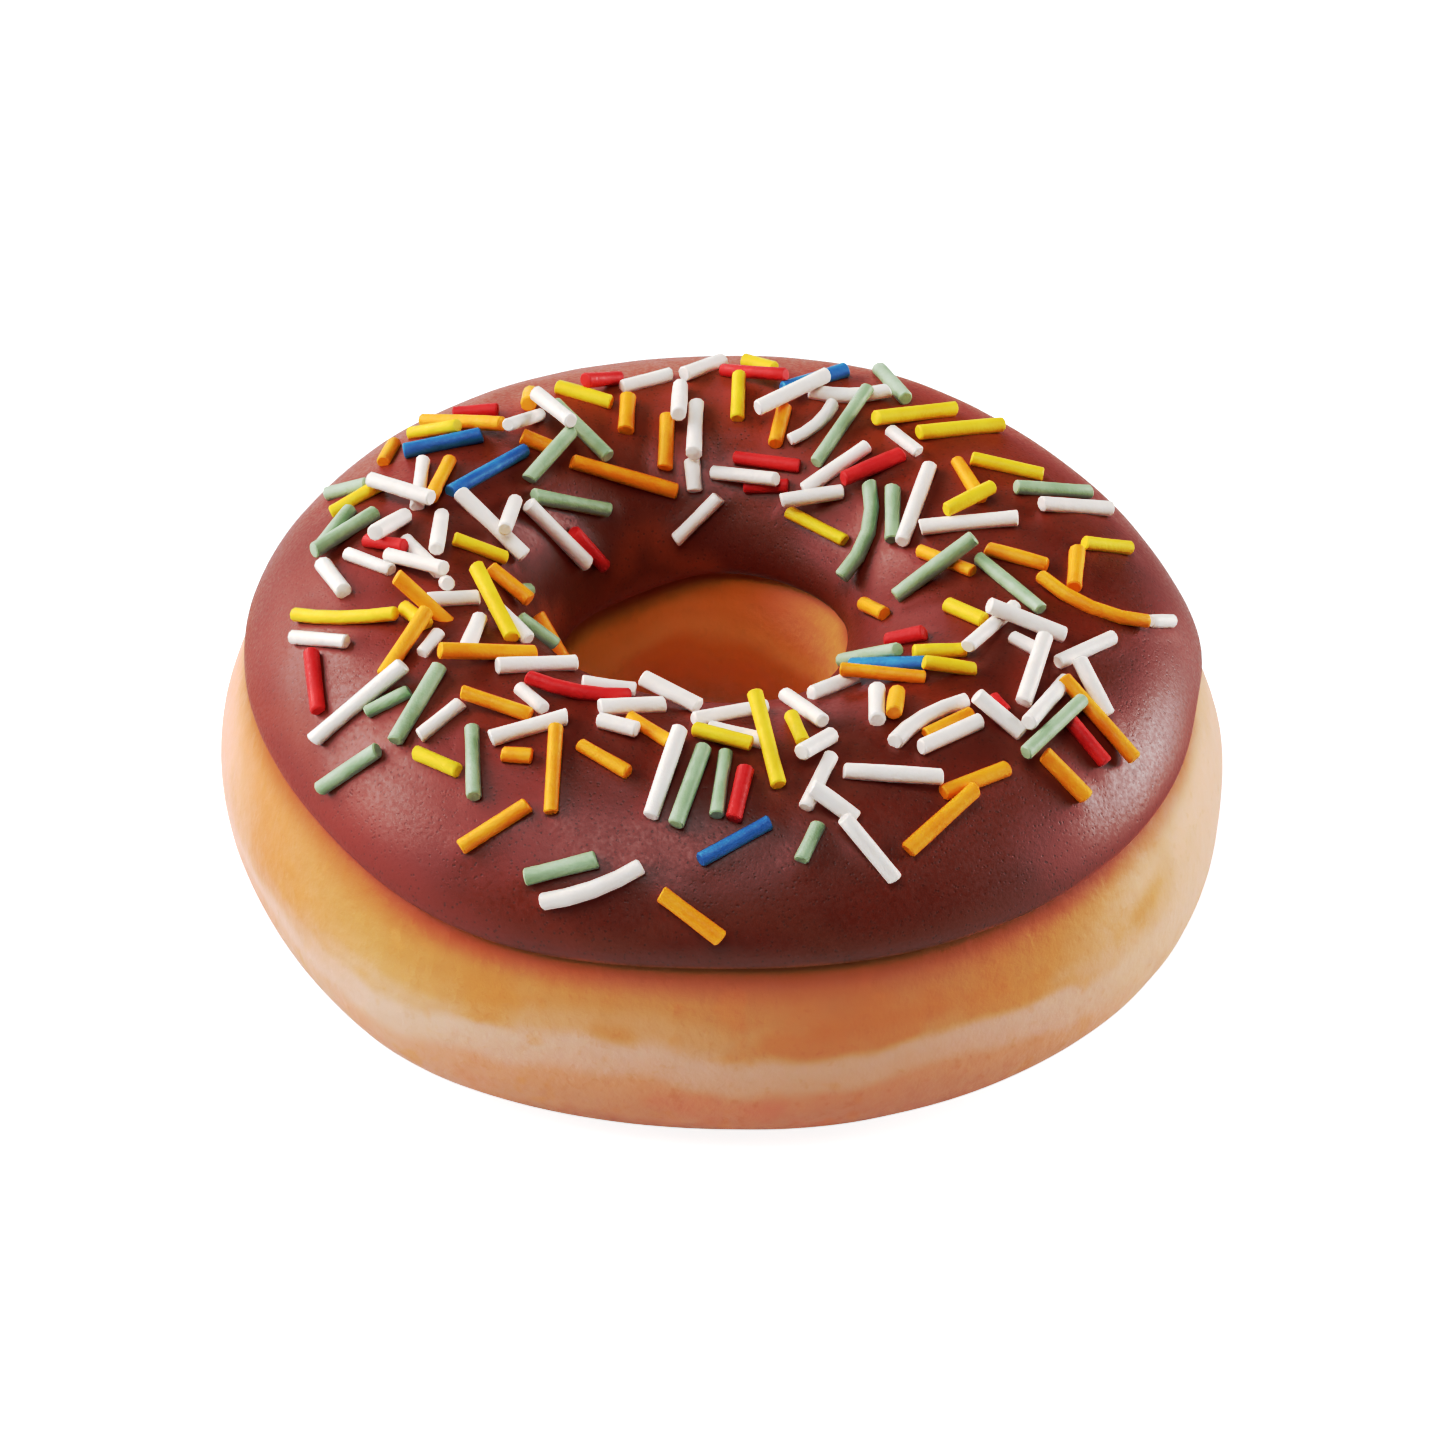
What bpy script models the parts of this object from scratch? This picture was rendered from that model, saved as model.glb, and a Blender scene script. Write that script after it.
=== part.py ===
"""Iced ring doughnut: a raised dough ring and the chocolate icing cap that sits on it.

Metres, +Z up. The ring stands on its flat foot at z = 0, with the middle of its footprint at
the origin. Each piece is a torus primitive whose points are carried to their place on the
ring by two coordinates: the bearing round the hole, and the turn round the dough, which is
0 at the belly, a quarter at the crown, a half in the hole and three quarters at the foot.
"""

import math

import bmesh
import bpy
from mathutils import Vector

# The dough ring.
BELLY_RADIUS = 0.0440  # the widest line on the outside
BELLY_HEIGHT = 0.0082
WAIST_RADIUS = 0.0121  # the narrowest line in the hole
WAIST_HEIGHT = 0.0085
CROWN_RADIUS = 0.0254
CROWN_HEIGHT = 0.0287
FOOT_DEPTH = 0.0007  # how much the round underside has settled flat
CROWN_SQUARENESS = 2.25  # exponents of the ring's four quarter curves; 2 is an ellipse
BELLY_SQUARENESS = 3.0
HOLE_TOP_SQUARENESS = 2.35
HOLE_FOOT_SQUARENESS = 2.8
HOLE_SHIFT = Vector((-0.0029, 0.0005))  # the hole was punched off centre
SHOULDER_INSET = 0.0010  # the iced top is this much narrower than the belly below it
SHOULDER_LOW = 0.0140
SHOULDER_HIGH = 0.0185

# Where the ring bulges (+) or sinks (-): bearing and spread in degrees, size in metres.
SIDE_BULGES = (
    (-156, 15, -0.0005),
    (-122, 15, 0.0010),
    (-92, 14, -0.0004),
    (-35, 22, 0.0007),
    (4, 8, 0.0004),
    (35, 25, -0.0007),
    (140, 28, -0.0004),
)
CROWN_BULGES = ((108, 24, -0.0009), (66, 14, 0.0003))
CROWN_WAVES = ((1, 217, 0.0005), (2, 100, 0.0002), (3, 10, 0.0001))  # count, phase, height

# The icing.
ICING_GAP = 0.0003  # keeps the two solids apart
ICING_THICKNESS = 0.0012
ICING_RIM_THICKNESS = 0.0007
ICING_TAPER = math.radians(11)  # the turn over which the icing thins towards its rims
OUTER_RIM_HEIGHT = 0.0200
HOLE_RIM_HEIGHT = 0.0180
OUTER_RIM_WAVES = ((1, 70, 0.0009), (3, 75, 0.0003), (5, 20, 0.0002), (8, 0, 0.0001))
OUTER_RIM_BULGES = ((-150, 26, 0.0004), (-30, 15, 0.0005), (12, 12, -0.0022), (164, 14, -0.0016))
HOLE_RIM_WAVES = ((1, 0, 0.0020), (2, 60, 0.0003), (5, 30, 0.0002))

# Mesh fineness.
BEARING_STEPS = 80
DOUGH_TURN_STEPS = 28
ICING_TURN_STEPS = 30
CORE_RADIUS = CROWN_HEIGHT / 2  # of the torus primitives, before their points are placed
HALVINGS = 40
NORMAL_STEP = 0.002

DOUGH_COLOUR = (0.60, 0.29, 0.10, 1.0)
ICING_COLOUR = (0.085, 0.020, 0.010, 1.0)

QUARTER = math.pi / 2
HALF = math.pi
FULL = 2 * math.pi


def clear_scene():
    for obj in list(bpy.data.objects):
        bpy.data.objects.remove(obj, do_unlink=True)


def new_collection(name):
    collection = bpy.data.collections.new(name)
    bpy.context.scene.collection.children.link(collection)
    return collection


def smooth_step(value, low, high):
    share = min(max((value - low) / (high - low), 0.0), 1.0)
    return share * share * (3 - 2 * share)


def waves(bearing, table):
    """The sum of slow waves round the ring, each given as (count, phase in degrees, height)."""
    return sum(
        height * math.cos(count * bearing - math.radians(phase)) for count, phase, height in table
    )


def bulges(bearing, table):
    """The sum of the soft bulges in a table at this bearing."""
    total = 0.0
    for centre, spread, size in table:
        away = math.remainder(bearing - math.radians(centre), FULL)
        total += size * math.exp(-((away / math.radians(spread)) ** 2))
    return total


def quarter_curve(turn, width, height, squareness):
    """A point of a superellipse, as its distances from the curve's middle."""
    across = abs(math.cos(turn))
    up = abs(math.sin(turn))
    reach = ((across / width) ** squareness + (up / height) ** squareness) ** (-1 / squareness)
    return reach * across, reach * up


def dough_point(bearing, turn):
    """The point of the dough's surface at a bearing round the hole and a turn round the dough."""
    outside = math.cos(turn) >= 0
    above = math.sin(turn) >= 0
    crown_height = CROWN_HEIGHT + waves(bearing, CROWN_WAVES) + bulges(bearing, CROWN_BULGES)
    middle_height = BELLY_HEIGHT if outside else WAIST_HEIGHT
    width = BELLY_RADIUS - CROWN_RADIUS if outside else CROWN_RADIUS - WAIST_RADIUS
    height = crown_height - middle_height if above else middle_height + FOOT_DEPTH
    if outside:
        squareness = CROWN_SQUARENESS if above else BELLY_SQUARENESS
    else:
        squareness = HOLE_TOP_SQUARENESS if above else HOLE_FOOT_SQUARENESS
    across, up = quarter_curve(turn, width, height, squareness)
    z = max(middle_height + (up if above else -up), 0.0)
    share = across / width
    if outside:
        inset = SHOULDER_INSET * smooth_step(z, SHOULDER_LOW, SHOULDER_HIGH)
        radius = CROWN_RADIUS + across + share * (bulges(bearing, SIDE_BULGES) - inset)
        shift = Vector((0.0, 0.0))
    else:
        radius = CROWN_RADIUS - across
        shift = HOLE_SHIFT * smooth_step(share, 0.0, 1.0)
    x = radius * math.cos(bearing) + shift.x
    y = radius * math.sin(bearing) + shift.y
    return Vector((x, y, z))


def turn_at_height(bearing, height, start, end):
    """The turn between start and end at which the dough's upper surface has this height."""
    start_is_lower = dough_point(bearing, start).z < dough_point(bearing, end).z
    for _ in range(HALVINGS):
        middle = (start + end) / 2
        if (dough_point(bearing, middle).z < height) == start_is_lower:
            start = middle
        else:
            end = middle
    return (start + end) / 2


def surface_normal(bearing, turn):
    """The dough's outward normal, from two short steps along its surface."""
    step = NORMAL_STEP
    along = dough_point(bearing + step, turn) - dough_point(bearing - step, turn)
    round_dough = dough_point(bearing, turn + step) - dough_point(bearing, turn - step)
    return along.cross(round_dough).normalized()


def make_material(name, colour, roughness):
    material = bpy.data.materials.new(name)
    material.use_nodes = True
    shader = material.node_tree.nodes["Principled BSDF"]
    shader.inputs["Base Color"].default_value = colour
    shader.inputs["Roughness"].default_value = roughness
    shader.inputs["Metallic"].default_value = 0.0
    material.diffuse_color = colour
    return material


def torus(name, turn_steps, collection, material):
    """A torus primitive with its core on the crown circle, as a named object."""
    bpy.ops.mesh.primitive_torus_add(
        major_segments=BEARING_STEPS,
        minor_segments=turn_steps,
        major_radius=CROWN_RADIUS,
        minor_radius=CORE_RADIUS,
    )
    obj = bpy.context.object
    obj.name = name
    obj.data.name = name
    for old in list(obj.users_collection):
        old.objects.unlink(obj)
    collection.objects.link(obj)
    obj.data.materials.append(material)
    return obj


def ring_coordinates(point):
    """Bearing and turn of a point of the torus primitive, the turn from 0 to a full circle."""
    bearing = math.atan2(point.y, point.x)
    turn = math.atan2(point.z, math.hypot(point.x, point.y) - CROWN_RADIUS)
    return bearing, turn % FULL


def make_dough(collection):
    dough = torus("dough", DOUGH_TURN_STEPS, collection, make_material("dough", DOUGH_COLOUR, 0.6))
    for vertex in dough.data.vertices:
        vertex.co = dough_point(*ring_coordinates(vertex.co))
    dough.data.shade_smooth()
    return dough


def open_underside(mesh):
    """Removes the torus's lower faces, so that the open strip over the top is left."""
    edit = bmesh.new()
    edit.from_mesh(mesh)
    spare = HALF / ICING_TURN_STEPS
    turns = {vertex: ring_coordinates(vertex.co)[1] for vertex in edit.verts}
    lower = [vertex for vertex, turn in turns.items() if HALF + spare < turn < FULL - spare]
    bmesh.ops.delete(edit, geom=lower, context="VERTS")
    edit.to_mesh(mesh)
    edit.free()


def make_icing(collection):
    """The icing, from an open strip over the crown that Solidify thickens outwards."""
    icing = torus("icing", ICING_TURN_STEPS, collection, make_material("icing", ICING_COLOUR, 0.35))
    open_underside(icing.data)
    body = icing.vertex_groups.new(name="full thickness")
    for vertex in icing.data.vertices:
        bearing, turn = ring_coordinates(vertex.co)
        share = turn / HALF if turn < HALF + QUARTER else 0.0
        outer_wander = waves(bearing, OUTER_RIM_WAVES) + bulges(bearing, OUTER_RIM_BULGES)
        outer_height = OUTER_RIM_HEIGHT + outer_wander
        hole_height = HOLE_RIM_HEIGHT + waves(bearing, HOLE_RIM_WAVES)
        outer_turn = turn_at_height(bearing, outer_height, 0.0, QUARTER)
        hole_turn = turn_at_height(bearing, hole_height, QUARTER, HALF)
        turn = outer_turn + share * (hole_turn - outer_turn)
        from_rim = min(turn - outer_turn, hole_turn - turn)
        body.add([vertex.index], smooth_step(from_rim, -ICING_TAPER / 4, ICING_TAPER), "REPLACE")
        vertex.co = dough_point(bearing, turn) + ICING_GAP * surface_normal(bearing, turn)
    shell = icing.modifiers.new("thickness", "SOLIDIFY")
    shell.thickness = ICING_THICKNESS
    shell.offset = 1.0
    shell.vertex_group = body.name
    shell.thickness_vertex_group = ICING_RIM_THICKNESS / ICING_THICKNESS
    icing.data.shade_smooth()
    return icing


def centre_footprint(dough, pieces):
    """Moves every piece so that the middle of the dough's outline stands on the origin."""
    xs = [vertex.co.x for vertex in dough.data.vertices]
    ys = [vertex.co.y for vertex in dough.data.vertices]
    middle = Vector(((min(xs) + max(xs)) / 2, (min(ys) + max(ys)) / 2, 0.0))
    for piece in pieces:
        for vertex in piece.data.vertices:
            vertex.co -= middle


def main():
    clear_scene()
    collection = new_collection("iced ring doughnut")
    dough = make_dough(collection)
    icing = make_icing(collection)
    centre_footprint(dough, (dough, icing))


main()
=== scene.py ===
"""The look of an iced ring doughnut: its fried crust, its chocolate icing and its sugar strands.

Metres, +Z up, on the frame of the CAD model. The crust and the icing are finer, finished copies
of the CAD solids. The sugar strands are laid one after another on the icing, each coming to
rest on what lies under it.
"""

import math
import random

import bmesh
import bpy
from mathutils import Matrix, Vector, noise
from mathutils.bvhtree import BVHTree
from mathutils.kdtree import KDTree


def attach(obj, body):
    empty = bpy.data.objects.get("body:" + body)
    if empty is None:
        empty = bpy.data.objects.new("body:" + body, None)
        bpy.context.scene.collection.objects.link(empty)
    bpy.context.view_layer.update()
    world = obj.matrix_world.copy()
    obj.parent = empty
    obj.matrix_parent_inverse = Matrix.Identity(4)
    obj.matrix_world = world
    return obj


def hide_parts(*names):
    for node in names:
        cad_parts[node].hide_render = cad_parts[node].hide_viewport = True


MM = 0.001

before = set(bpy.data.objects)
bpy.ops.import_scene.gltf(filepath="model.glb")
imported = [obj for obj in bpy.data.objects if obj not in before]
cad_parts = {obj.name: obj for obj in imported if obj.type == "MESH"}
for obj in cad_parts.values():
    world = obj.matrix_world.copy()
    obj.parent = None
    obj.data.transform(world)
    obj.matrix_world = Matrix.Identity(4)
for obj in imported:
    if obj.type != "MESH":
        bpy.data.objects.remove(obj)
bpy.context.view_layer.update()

HOLE_MIDDLE = Vector((-2.9, 0.5, 0.0)) * MM
WELD = 0.01 * MM  # points of a CAD solid that are nearer than this are one point

# The crust and the icing.
FLAT_FOOT = 2.5 * MM  # the crust's bumps fade out over this height above the table
UNDERSIDE = 0.45 * MM  # the icing's underside is nearer to the crust than this
TUCK = 0.5 * MM  # how deep the underside then lies in the crust
RIM_GLOW = 3.0 * MM  # how far in from its rims the thin icing looks redder
SHADE_AND_STAIN_REACH = 3.6 * MM  # how far below the icing the crust is darkened, partly painted shade under the rims and partly a sugar stain
RIDGE_HEIGHT = 0.12 * MM  # of the icing along each strand that sits in it
RIDGE_REACH = 0.9 * MM  # from the strand's centre line to the ridge's top
RIDGE_WIDTH = 0.6 * MM

# The strands' own shape.
STRAND_RADIUS = 0.68 * MM
STRAND_LENGTH = 6.0 * MM  # of the master that the others are copied from
STRAND_SIDES = 10
STRAND_CUTS = 3
STRAND_EDGE = 0.12 * MM  # the small round of its cut ends
THINNEST = 0.87  # shares of STRAND_RADIUS
THICKEST = 1.08
SLANT = 0.16  # the steepest slope of a cut end
WAIST = 0.05  # how much a strand swells or narrows along its length
WAIST_RUN = 2.5  # how far that swelling runs round over half a strand, in radians
SHARP_EDGE = math.radians(40)
SHAPE_SEED = 7

# How the strands are laid.
LAYING_SEED = 41
STRAND_SINK = 0.22 * MM  # how deep a strand sits in the icing
PRESSED = 0.06 * MM  # how deep strands press into each other
STEEPEST = 0.1  # upward share of the icing's slope at the steepest place that holds a strand
STATIONS = 13  # places along a strand where it can touch what is under it
ROUNDS = 3  # how often its tilt is worked out again
NEAR = 16 * MM  # strands further off than this can't touch
LOW_ENOUGH = 0.15 * MM  # a strand that stands up less than this isn't slid further
NUDGES = ((0.0, 1), (0.4, 8), (0.8, 8))  # how far in mm a strand may slide, and in how many ways
SLIDE_COST = 0.4  # how much lower it has to lie for each length that it slides
CEILING = 0.1  # higher than everything

# Strands listed one by one: colour, right and back of the middle in mm, heading in degrees from the
# right, length in mm, and for a bent one how far its middle bows to its left in mm.
LEFT_STRANDS = (
    ("green", -34, 3.5, 65, 5.5),
    ("white", -26, -2.5, 125, 6),
    ("red", -29, -0.5, 145, 4.5),
    ("white", -29, 1, 65, 5.5),
    ("yellow", -26, -11, 130, 3.5),
    ("white", -18, -10.5, 125, 5.5),
    ("white", -23, -8.5, 15, 4.5),
    ("white", -24, -7, 100, 2),
    ("green", -17.5, -1.5, 70, 2.5),
    ("orange", -18, -2.5, 150, 4.5),
    ("orange", -15.5, -4.5, 135, 5),
    ("green", -16.5, -9.5, 175, 4),
    ("white", -20.5, 4, 145, 8),
    ("white", -19, 5, 85, 6.5),
    ("yellow", -21, 0.5, 5, 5),
    ("yellow", -32, -9, 155, 10.5, 0.6),
    ("red", -34, -15.5, 100, 6.5),
    ("white", -34, -11.5, 145, 6.5),
    ("orange", -26.5, -15, 60, 7),
    ("orange", -25.5, -10.5, 160, 6.5),
    ("green", -27.5, -20.5, 15, 4),
    ("white", -30, -19, 20, 10),
    ("white", -25, -14, 65, 3),
    ("white", -21, -13.5, 80, 5),
    ("green", -25, -21.5, 65, 8),
    ("white", -23, -23.5, 40, 4.5),
    ("yellow", -19.5, -9.5, 115, 8.5),
    ("orange", -20, -16.5, 20, 8.5),
    ("orange", -18.5, -23, 165, 6),
    ("white", -15.5, -17, 20, 7),
    ("white", -16, -22, 130, 3.5),
    ("white", -16, -25, 20, 6.5),
    ("green", -33, 2, 45, 7),
    ("white", -34, -3.5, 115, 5.5),
    ("white", -30.5, -2, 140, 5.5),
    ("white", -27, -5, 145, 6.5),
    ("white", -24, 0.5, 90, 6.5),
)
FRONT_STRANDS = (
    ("green", -30, -25, 0, 6.5),
    ("yellow", -23, -27, 145, 4.5),
    ("green", -19.5, -27.5, 95, 7),
    ("orange", -16.5, -28, 170, 2.5),
    ("orange", -13.5, -29.5, 90, 8),
    ("orange", -18, -33.5, 20, 6.5),
    ("green", -12.5, -37, 5, 6),
    ("white", -10, -37.5, 10, 8.5, -0.7),
    ("orange", -9.5, -28.5, 145, 5),
    ("orange", -2, -40, 155, 6),
    ("white", -4.5, -30, 75, 8.5),
    ("green", -2.5, -31, 75, 8),
    ("green", 0, -30.5, 85, 6.5),
    ("red", 1.5, -31.5, 80, 5),
    ("blue", 1, -35, 30, 6.5),
    ("white", 1, -25, 165, 4.5),
    ("yellow", 0, -26.5, 160, 5),
    ("yellow", 3.5, -26.5, 105, 9),
    ("yellow", 6, -23.5, 105, 4),
    ("white", 7, -25.5, 55, 4.5),
    ("white", 7, -29.5, 70, 6),
    ("white", 9, -32, 165, 4.5),
    ("white", 12, -34, 150, 6.5),
    ("green", 7.5, -34.5, 65, 3.5),
    ("white", 13.5, -28.5, 0, 8),
)
HOLE_EDGE_STRANDS = (
    ("white", -9.5, -19, 5, 4.5),
    ("red", -12.5, -19.5, 0, 8.5, -0.8),
    ("white", -7.5, -22, 15, 5.5),
    ("white", -5, -20.5, 150, 5.5),
    ("white", 0.5, -21.5, 30, 7),
    ("orange", -6, -25, 140, 4.5),
    ("white", -8.5, -25, 155, 3.5),
    ("white", 6.5, -20, 120, 6.5),
    ("white", 9, -15.5, 40, 5),
    ("blue", 13.5, -12.5, 160, 7),
    ("green", 12, -9.5, 135, 8),
    ("orange", 13, -15, 175, 7),
    ("yellow", 18.5, -14, 5, 4.5),
    ("yellow", 17.5, -12, 5, 4.5),
    ("red", 15, -8, 170, 3.5),
    ("orange", 12.5, -0.5, 115, 4.5),
    ("green", 10.5, 8.5, 75, 9.5, -1.2),
    ("white", -3, 14, 30, 5.5),
    ("white", -15, 8, 5, 8.5),
    ("green", -14, 11, 25, 8),
    ("red", -12, 9, 5, 5),
)
RIGHT_STRANDS = (
    ("white", 25, -10.5, 145, 3),
    ("white", 37, -2, 45, 3.5),
    ("orange", 18.5, 2, 135, 6.5),
    ("white", 12.5, -19.5, 90, 5),
    ("orange", 14, -19.5, 85, 4),
    ("white", 16.5, -21.5, 45, 8.5, 0.7),
    ("orange", 17.5, -21.5, 40, 5),
    ("white", 18.5, -23, 40, 6.5),
    ("red", 22.5, -18.5, 125, 2),
    ("white", 22.5, -20.5, 155, 5),
    ("orange", 20.5, -27, 35, 6.5),
    ("orange", 17.5, -31, 45, 8),
    ("yellow", 20, -6, 135, 4.5),
    ("white", 21.5, -8.5, 60, 8.5),
    ("white", 25, -8.5, 175, 7),
    ("white", 25.5, -14.5, 75, 7.5),
    ("green", 23.5, -2.5, 125, 9),
    ("white", 30, -10, 45, 7),
    ("white", 26.5, -18, 65, 8),
    ("white", 30.5, -14.5, 120, 5.5),
    ("orange", 31.5, -17, 140, 9),
    ("red", 30, -20, 140, 4.5),
    ("orange", 28, -24, 150, 5),
    ("green", 27, -20.5, 55, 8.5),
    ("orange", 31, -3, 165, 10, 1.4),
    ("orange", 29.5, 0.5, 85, 5.5),
    ("yellow", 32.5, 5.5, 25, 5),
    ("green", 17.5, 0.5, 20, 8.5),
    ("orange", 24.5, 1.5, 160, 5.5),
)
BACK_STRANDS = (
    ("blue", -25.5, 15, 15, 7),
    ("blue", -21, 10.5, 50, 9.5),
    ("blue", 7, 27, 35, 7),
    ("orange", -17, 15.5, 170, 3.5),
    ("orange", -9.5, 15, 5, 10),
    ("red", 3, 17, 165, 6),
    ("red", 3, 16, 170, 4),
    ("yellow", 7.5, 11, 140, 6.5),
    ("yellow", -26.5, 17.5, 155, 5.5),
    ("orange", -24, 18.5, 150, 9),
    ("red", -23, 21, 175, 4),
    ("orange", -30, 15, 80, 4),
    ("green", -33.5, 10, 160, 4.5),
    ("yellow", -32.5, 8, 25, 5),
    ("white", -27, 8.5, 90, 7.5),
    ("orange", -25, 8.5, 80, 7),
    ("white", -28.5, 6, 145, 7),
    ("white", -18.5, 17, 65, 6.5),
    ("orange", -18, 22, 90, 4),
    ("green", -16, 13.5, 55, 6.5),
    ("yellow", -13.5, 24, 155, 5.5),
    ("red", -12, 26, 45, 4.5),
    ("white", -8.5, 27, 30, 5),
    ("orange", -10, 21.5, 90, 4.5),
    ("white", -3, 29.5, 45, 5),
    ("yellow", 2, 30, 145, 3.5),
    ("red", 1.5, 27.5, 150, 7),
    ("orange", 4, 20.5, 80, 4.5),
    ("white", -3.5, 16.5, 100, 3),
    ("green", 14, 27.5, 110, 7),
    ("white", 9, 15.5, 30, 7),
    ("white", 7, 13.5, 10, 5.5),
    ("white", 15, 18, 130, 4),
    ("green", 14, 9.5, 90, 6),
    ("white", 10.5, 25, 0, 7, -0.8),
    ("white", 6.5, 21, 50, 6, -0.6),
    ("green", -13.5, 18.5, 130, 8),
    ("white", -16, 18, 125, 6),
    ("white", 1, 15.5, 155, 6.5),
    ("orange", -6, 19, 90, 5.5),
    ("white", -3.5, 20, 90, 7),
    ("white", -5, 23, 90, 6.5),
    ("yellow", 0.5, 24.5, 90, 5.5),
    ("green", 9.5, 20, 60, 9.5),
    ("red", 12.5, 15, 30, 6),
    ("white", 16, 10, 75, 9.5),
    ("white", 5, 23, 40, 8),
    ("white", 20.5, 6.5, 0, 8.5),
    ("green", 28, 12.5, 20, 7.5),
    ("white", 30, 10.5, 25, 7.5),
    ("yellow", 24, 15, 170, 6.5),
    ("yellow", 16, 22, 30, 8.5),
    ("yellow", 20, 20.5, 25, 8.5),
    ("orange", 21, 12.5, 110, 6),
    ("yellow", 20.5, 8.5, 35, 5),
)


# ---------------------------------------------------------------- shape helpers


def deselect():
    bpy.ops.object.select_all(action="DESELECT")


def pick(obj):
    deselect()
    obj.select_set(True)
    bpy.context.view_layer.objects.active = obj


def copy_of_node(node, name):
    """A clean quad copy of a CAD solid, as a new piece."""
    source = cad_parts[node]
    piece = source.copy()
    piece.data = source.data.copy()
    piece.parent = None
    piece.matrix_world = Matrix.Identity(4)
    piece.name = name
    piece.data.name = name
    bpy.context.scene.collection.objects.link(piece)
    pick(piece)
    bpy.ops.object.mode_set(mode="EDIT")
    bpy.ops.mesh.select_all(action="SELECT")
    bpy.ops.mesh.remove_doubles(threshold=WELD)
    bpy.ops.mesh.tris_convert_to_quads(face_threshold=math.pi, shape_threshold=math.pi)
    bpy.ops.object.mode_set(mode="OBJECT")
    return piece


def subdivide(piece, levels):
    pick(piece)
    finer = piece.modifiers.new("finer", "SUBSURF")
    finer.levels = levels
    finer.render_levels = levels
    bpy.ops.object.modifier_apply(modifier=finer.name)


def smooth_step(value, low, high):
    share = min(max((value - low) / (high - low), 0.0), 1.0)
    return share * share * (3 - 2 * share)


def bumps(place, per_metre, height, start=(0, 0, 0)):
    """Smooth bumps up to this high, this many to the metre. start picks another run of them."""
    return noise.noise(place * per_metre + Vector(start)) * height


def tree_of(piece):
    mesh = bmesh.new()
    mesh.from_mesh(piece.data)
    tree = BVHTree.FromBMesh(mesh)
    mesh.free()
    return tree


def points_tree(points):
    tree = KDTree(len(points))
    for index, point in enumerate(points):
        tree.insert(point, index)
    tree.balance()
    return tree


# ---------------------------------------------------------------- the crust


def make_crust():
    """The dough ring, with the low swells and dents of a risen crust."""
    crust = copy_of_node("dough", "crust")
    subdivide(crust, 2)
    mesh = crust.data
    normals = [vertex.normal.copy() for vertex in mesh.vertices]
    for vertex, normal in zip(mesh.vertices, normals):
        place = vertex.co
        swell = bumps(place, 70, 0.12 * MM)
        dent = bumps(place, 190, 0.05 * MM, start=(3, 1, 7))
        foot = smooth_step(place.z, 0.0, FLAT_FOOT)
        vertex.co = place + normal * (swell + dent) * foot
    mesh.shade_smooth()
    return crust


# ---------------------------------------------------------------- the icing


def height_over(tree, point):
    """How far a point stands over a surface, below zero when it is under it."""
    foot, outward, _, gap = tree.find_nearest(point)
    return math.copysign(gap, (point - foot).dot(outward))


def contact_points(icing, heights):
    """Where the icing's skin meets the crust: the points along its rims."""
    found = []
    for edge in icing.data.edges:
        first, second = edge.vertices
        low, high = heights[first], heights[second]
        if low * high < 0:
            start, end = icing.data.vertices[first].co, icing.data.vertices[second].co
            found.append(start.lerp(end, low / (low - high)))
    return found


def make_icing(crust, crust_tree):
    """The icing with its underside tucked into the crust, and both marked near the icing's rims."""
    icing = copy_of_node("icing", "chocolate_icing")
    for vertex in icing.data.vertices:
        foot, outward, _, gap = crust_tree.find_nearest(vertex.co)
        if gap < UNDERSIDE:
            vertex.co = foot - outward * TUCK
    subdivide(icing, 2)
    vertices = icing.data.vertices
    heights = [height_over(crust_tree, vertex.co) for vertex in vertices]
    contact = points_tree(contact_points(icing, heights))
    glow = icing.data.attributes.new("rim", "FLOAT", "POINT")
    for vertex in vertices:
        from_rim = contact.find(vertex.co)[2] + bumps(vertex.co, 160, 0.5 * MM)
        glow.data[vertex.index].value = 1.0 - smooth_step(from_rim, 0.0, RIM_GLOW)
    # Painted shade, with some real browning: the crust is darkened near the icing's rims.
    shade_and_stain = crust.data.attributes.new("shade_and_stain", "FLOAT", "POINT")
    for vertex in crust.data.vertices:
        from_rim = contact.find(vertex.co)[2]
        shade_and_stain.data[vertex.index].value = 1.0 - smooth_step(from_rim, 0.0, SHADE_AND_STAIN_REACH)
    icing.data.shade_smooth()
    return icing


def relieve_icing(icing, laid):
    """The set icing's soft waves, and the low ridge it makes along each strand that sits in it."""
    near = points_tree([point for strand in laid for point in strand["axis"]])
    mesh = icing.data
    normals = [vertex.normal.copy() for vertex in mesh.vertices]
    glow = mesh.attributes["rim"]
    for vertex, normal in zip(mesh.vertices, normals):
        place = vertex.co.copy()
        inner = 1.0 - glow.data[vertex.index].value
        wave = bumps(place, 95, 0.16 * MM, start=(5, 2, 9)) + bumps(place, 240, 0.05 * MM)
        from_ridge = (near.find(place)[2] - RIDGE_REACH) / RIDGE_WIDTH
        ridge = RIDGE_HEIGHT * math.exp(-(from_ridge**2))
        vertex.co = place + normal * (wave + ridge) * inner


# ---------------------------------------------------------------- the strands


def select_edges(piece, wanted):
    """Goes to edit mode with only the edges selected whose two end heights are wanted."""
    bpy.ops.object.mode_set(mode="EDIT")
    bpy.ops.mesh.select_mode(type="EDGE")
    bpy.ops.mesh.select_all(action="DESELECT")
    bpy.ops.object.mode_set(mode="OBJECT")
    mesh = piece.data
    for edge in mesh.edges:
        edge.select = wanted(*(mesh.vertices[index].co.z for index in edge.vertices))
    bpy.ops.object.mode_set(mode="EDIT")


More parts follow.
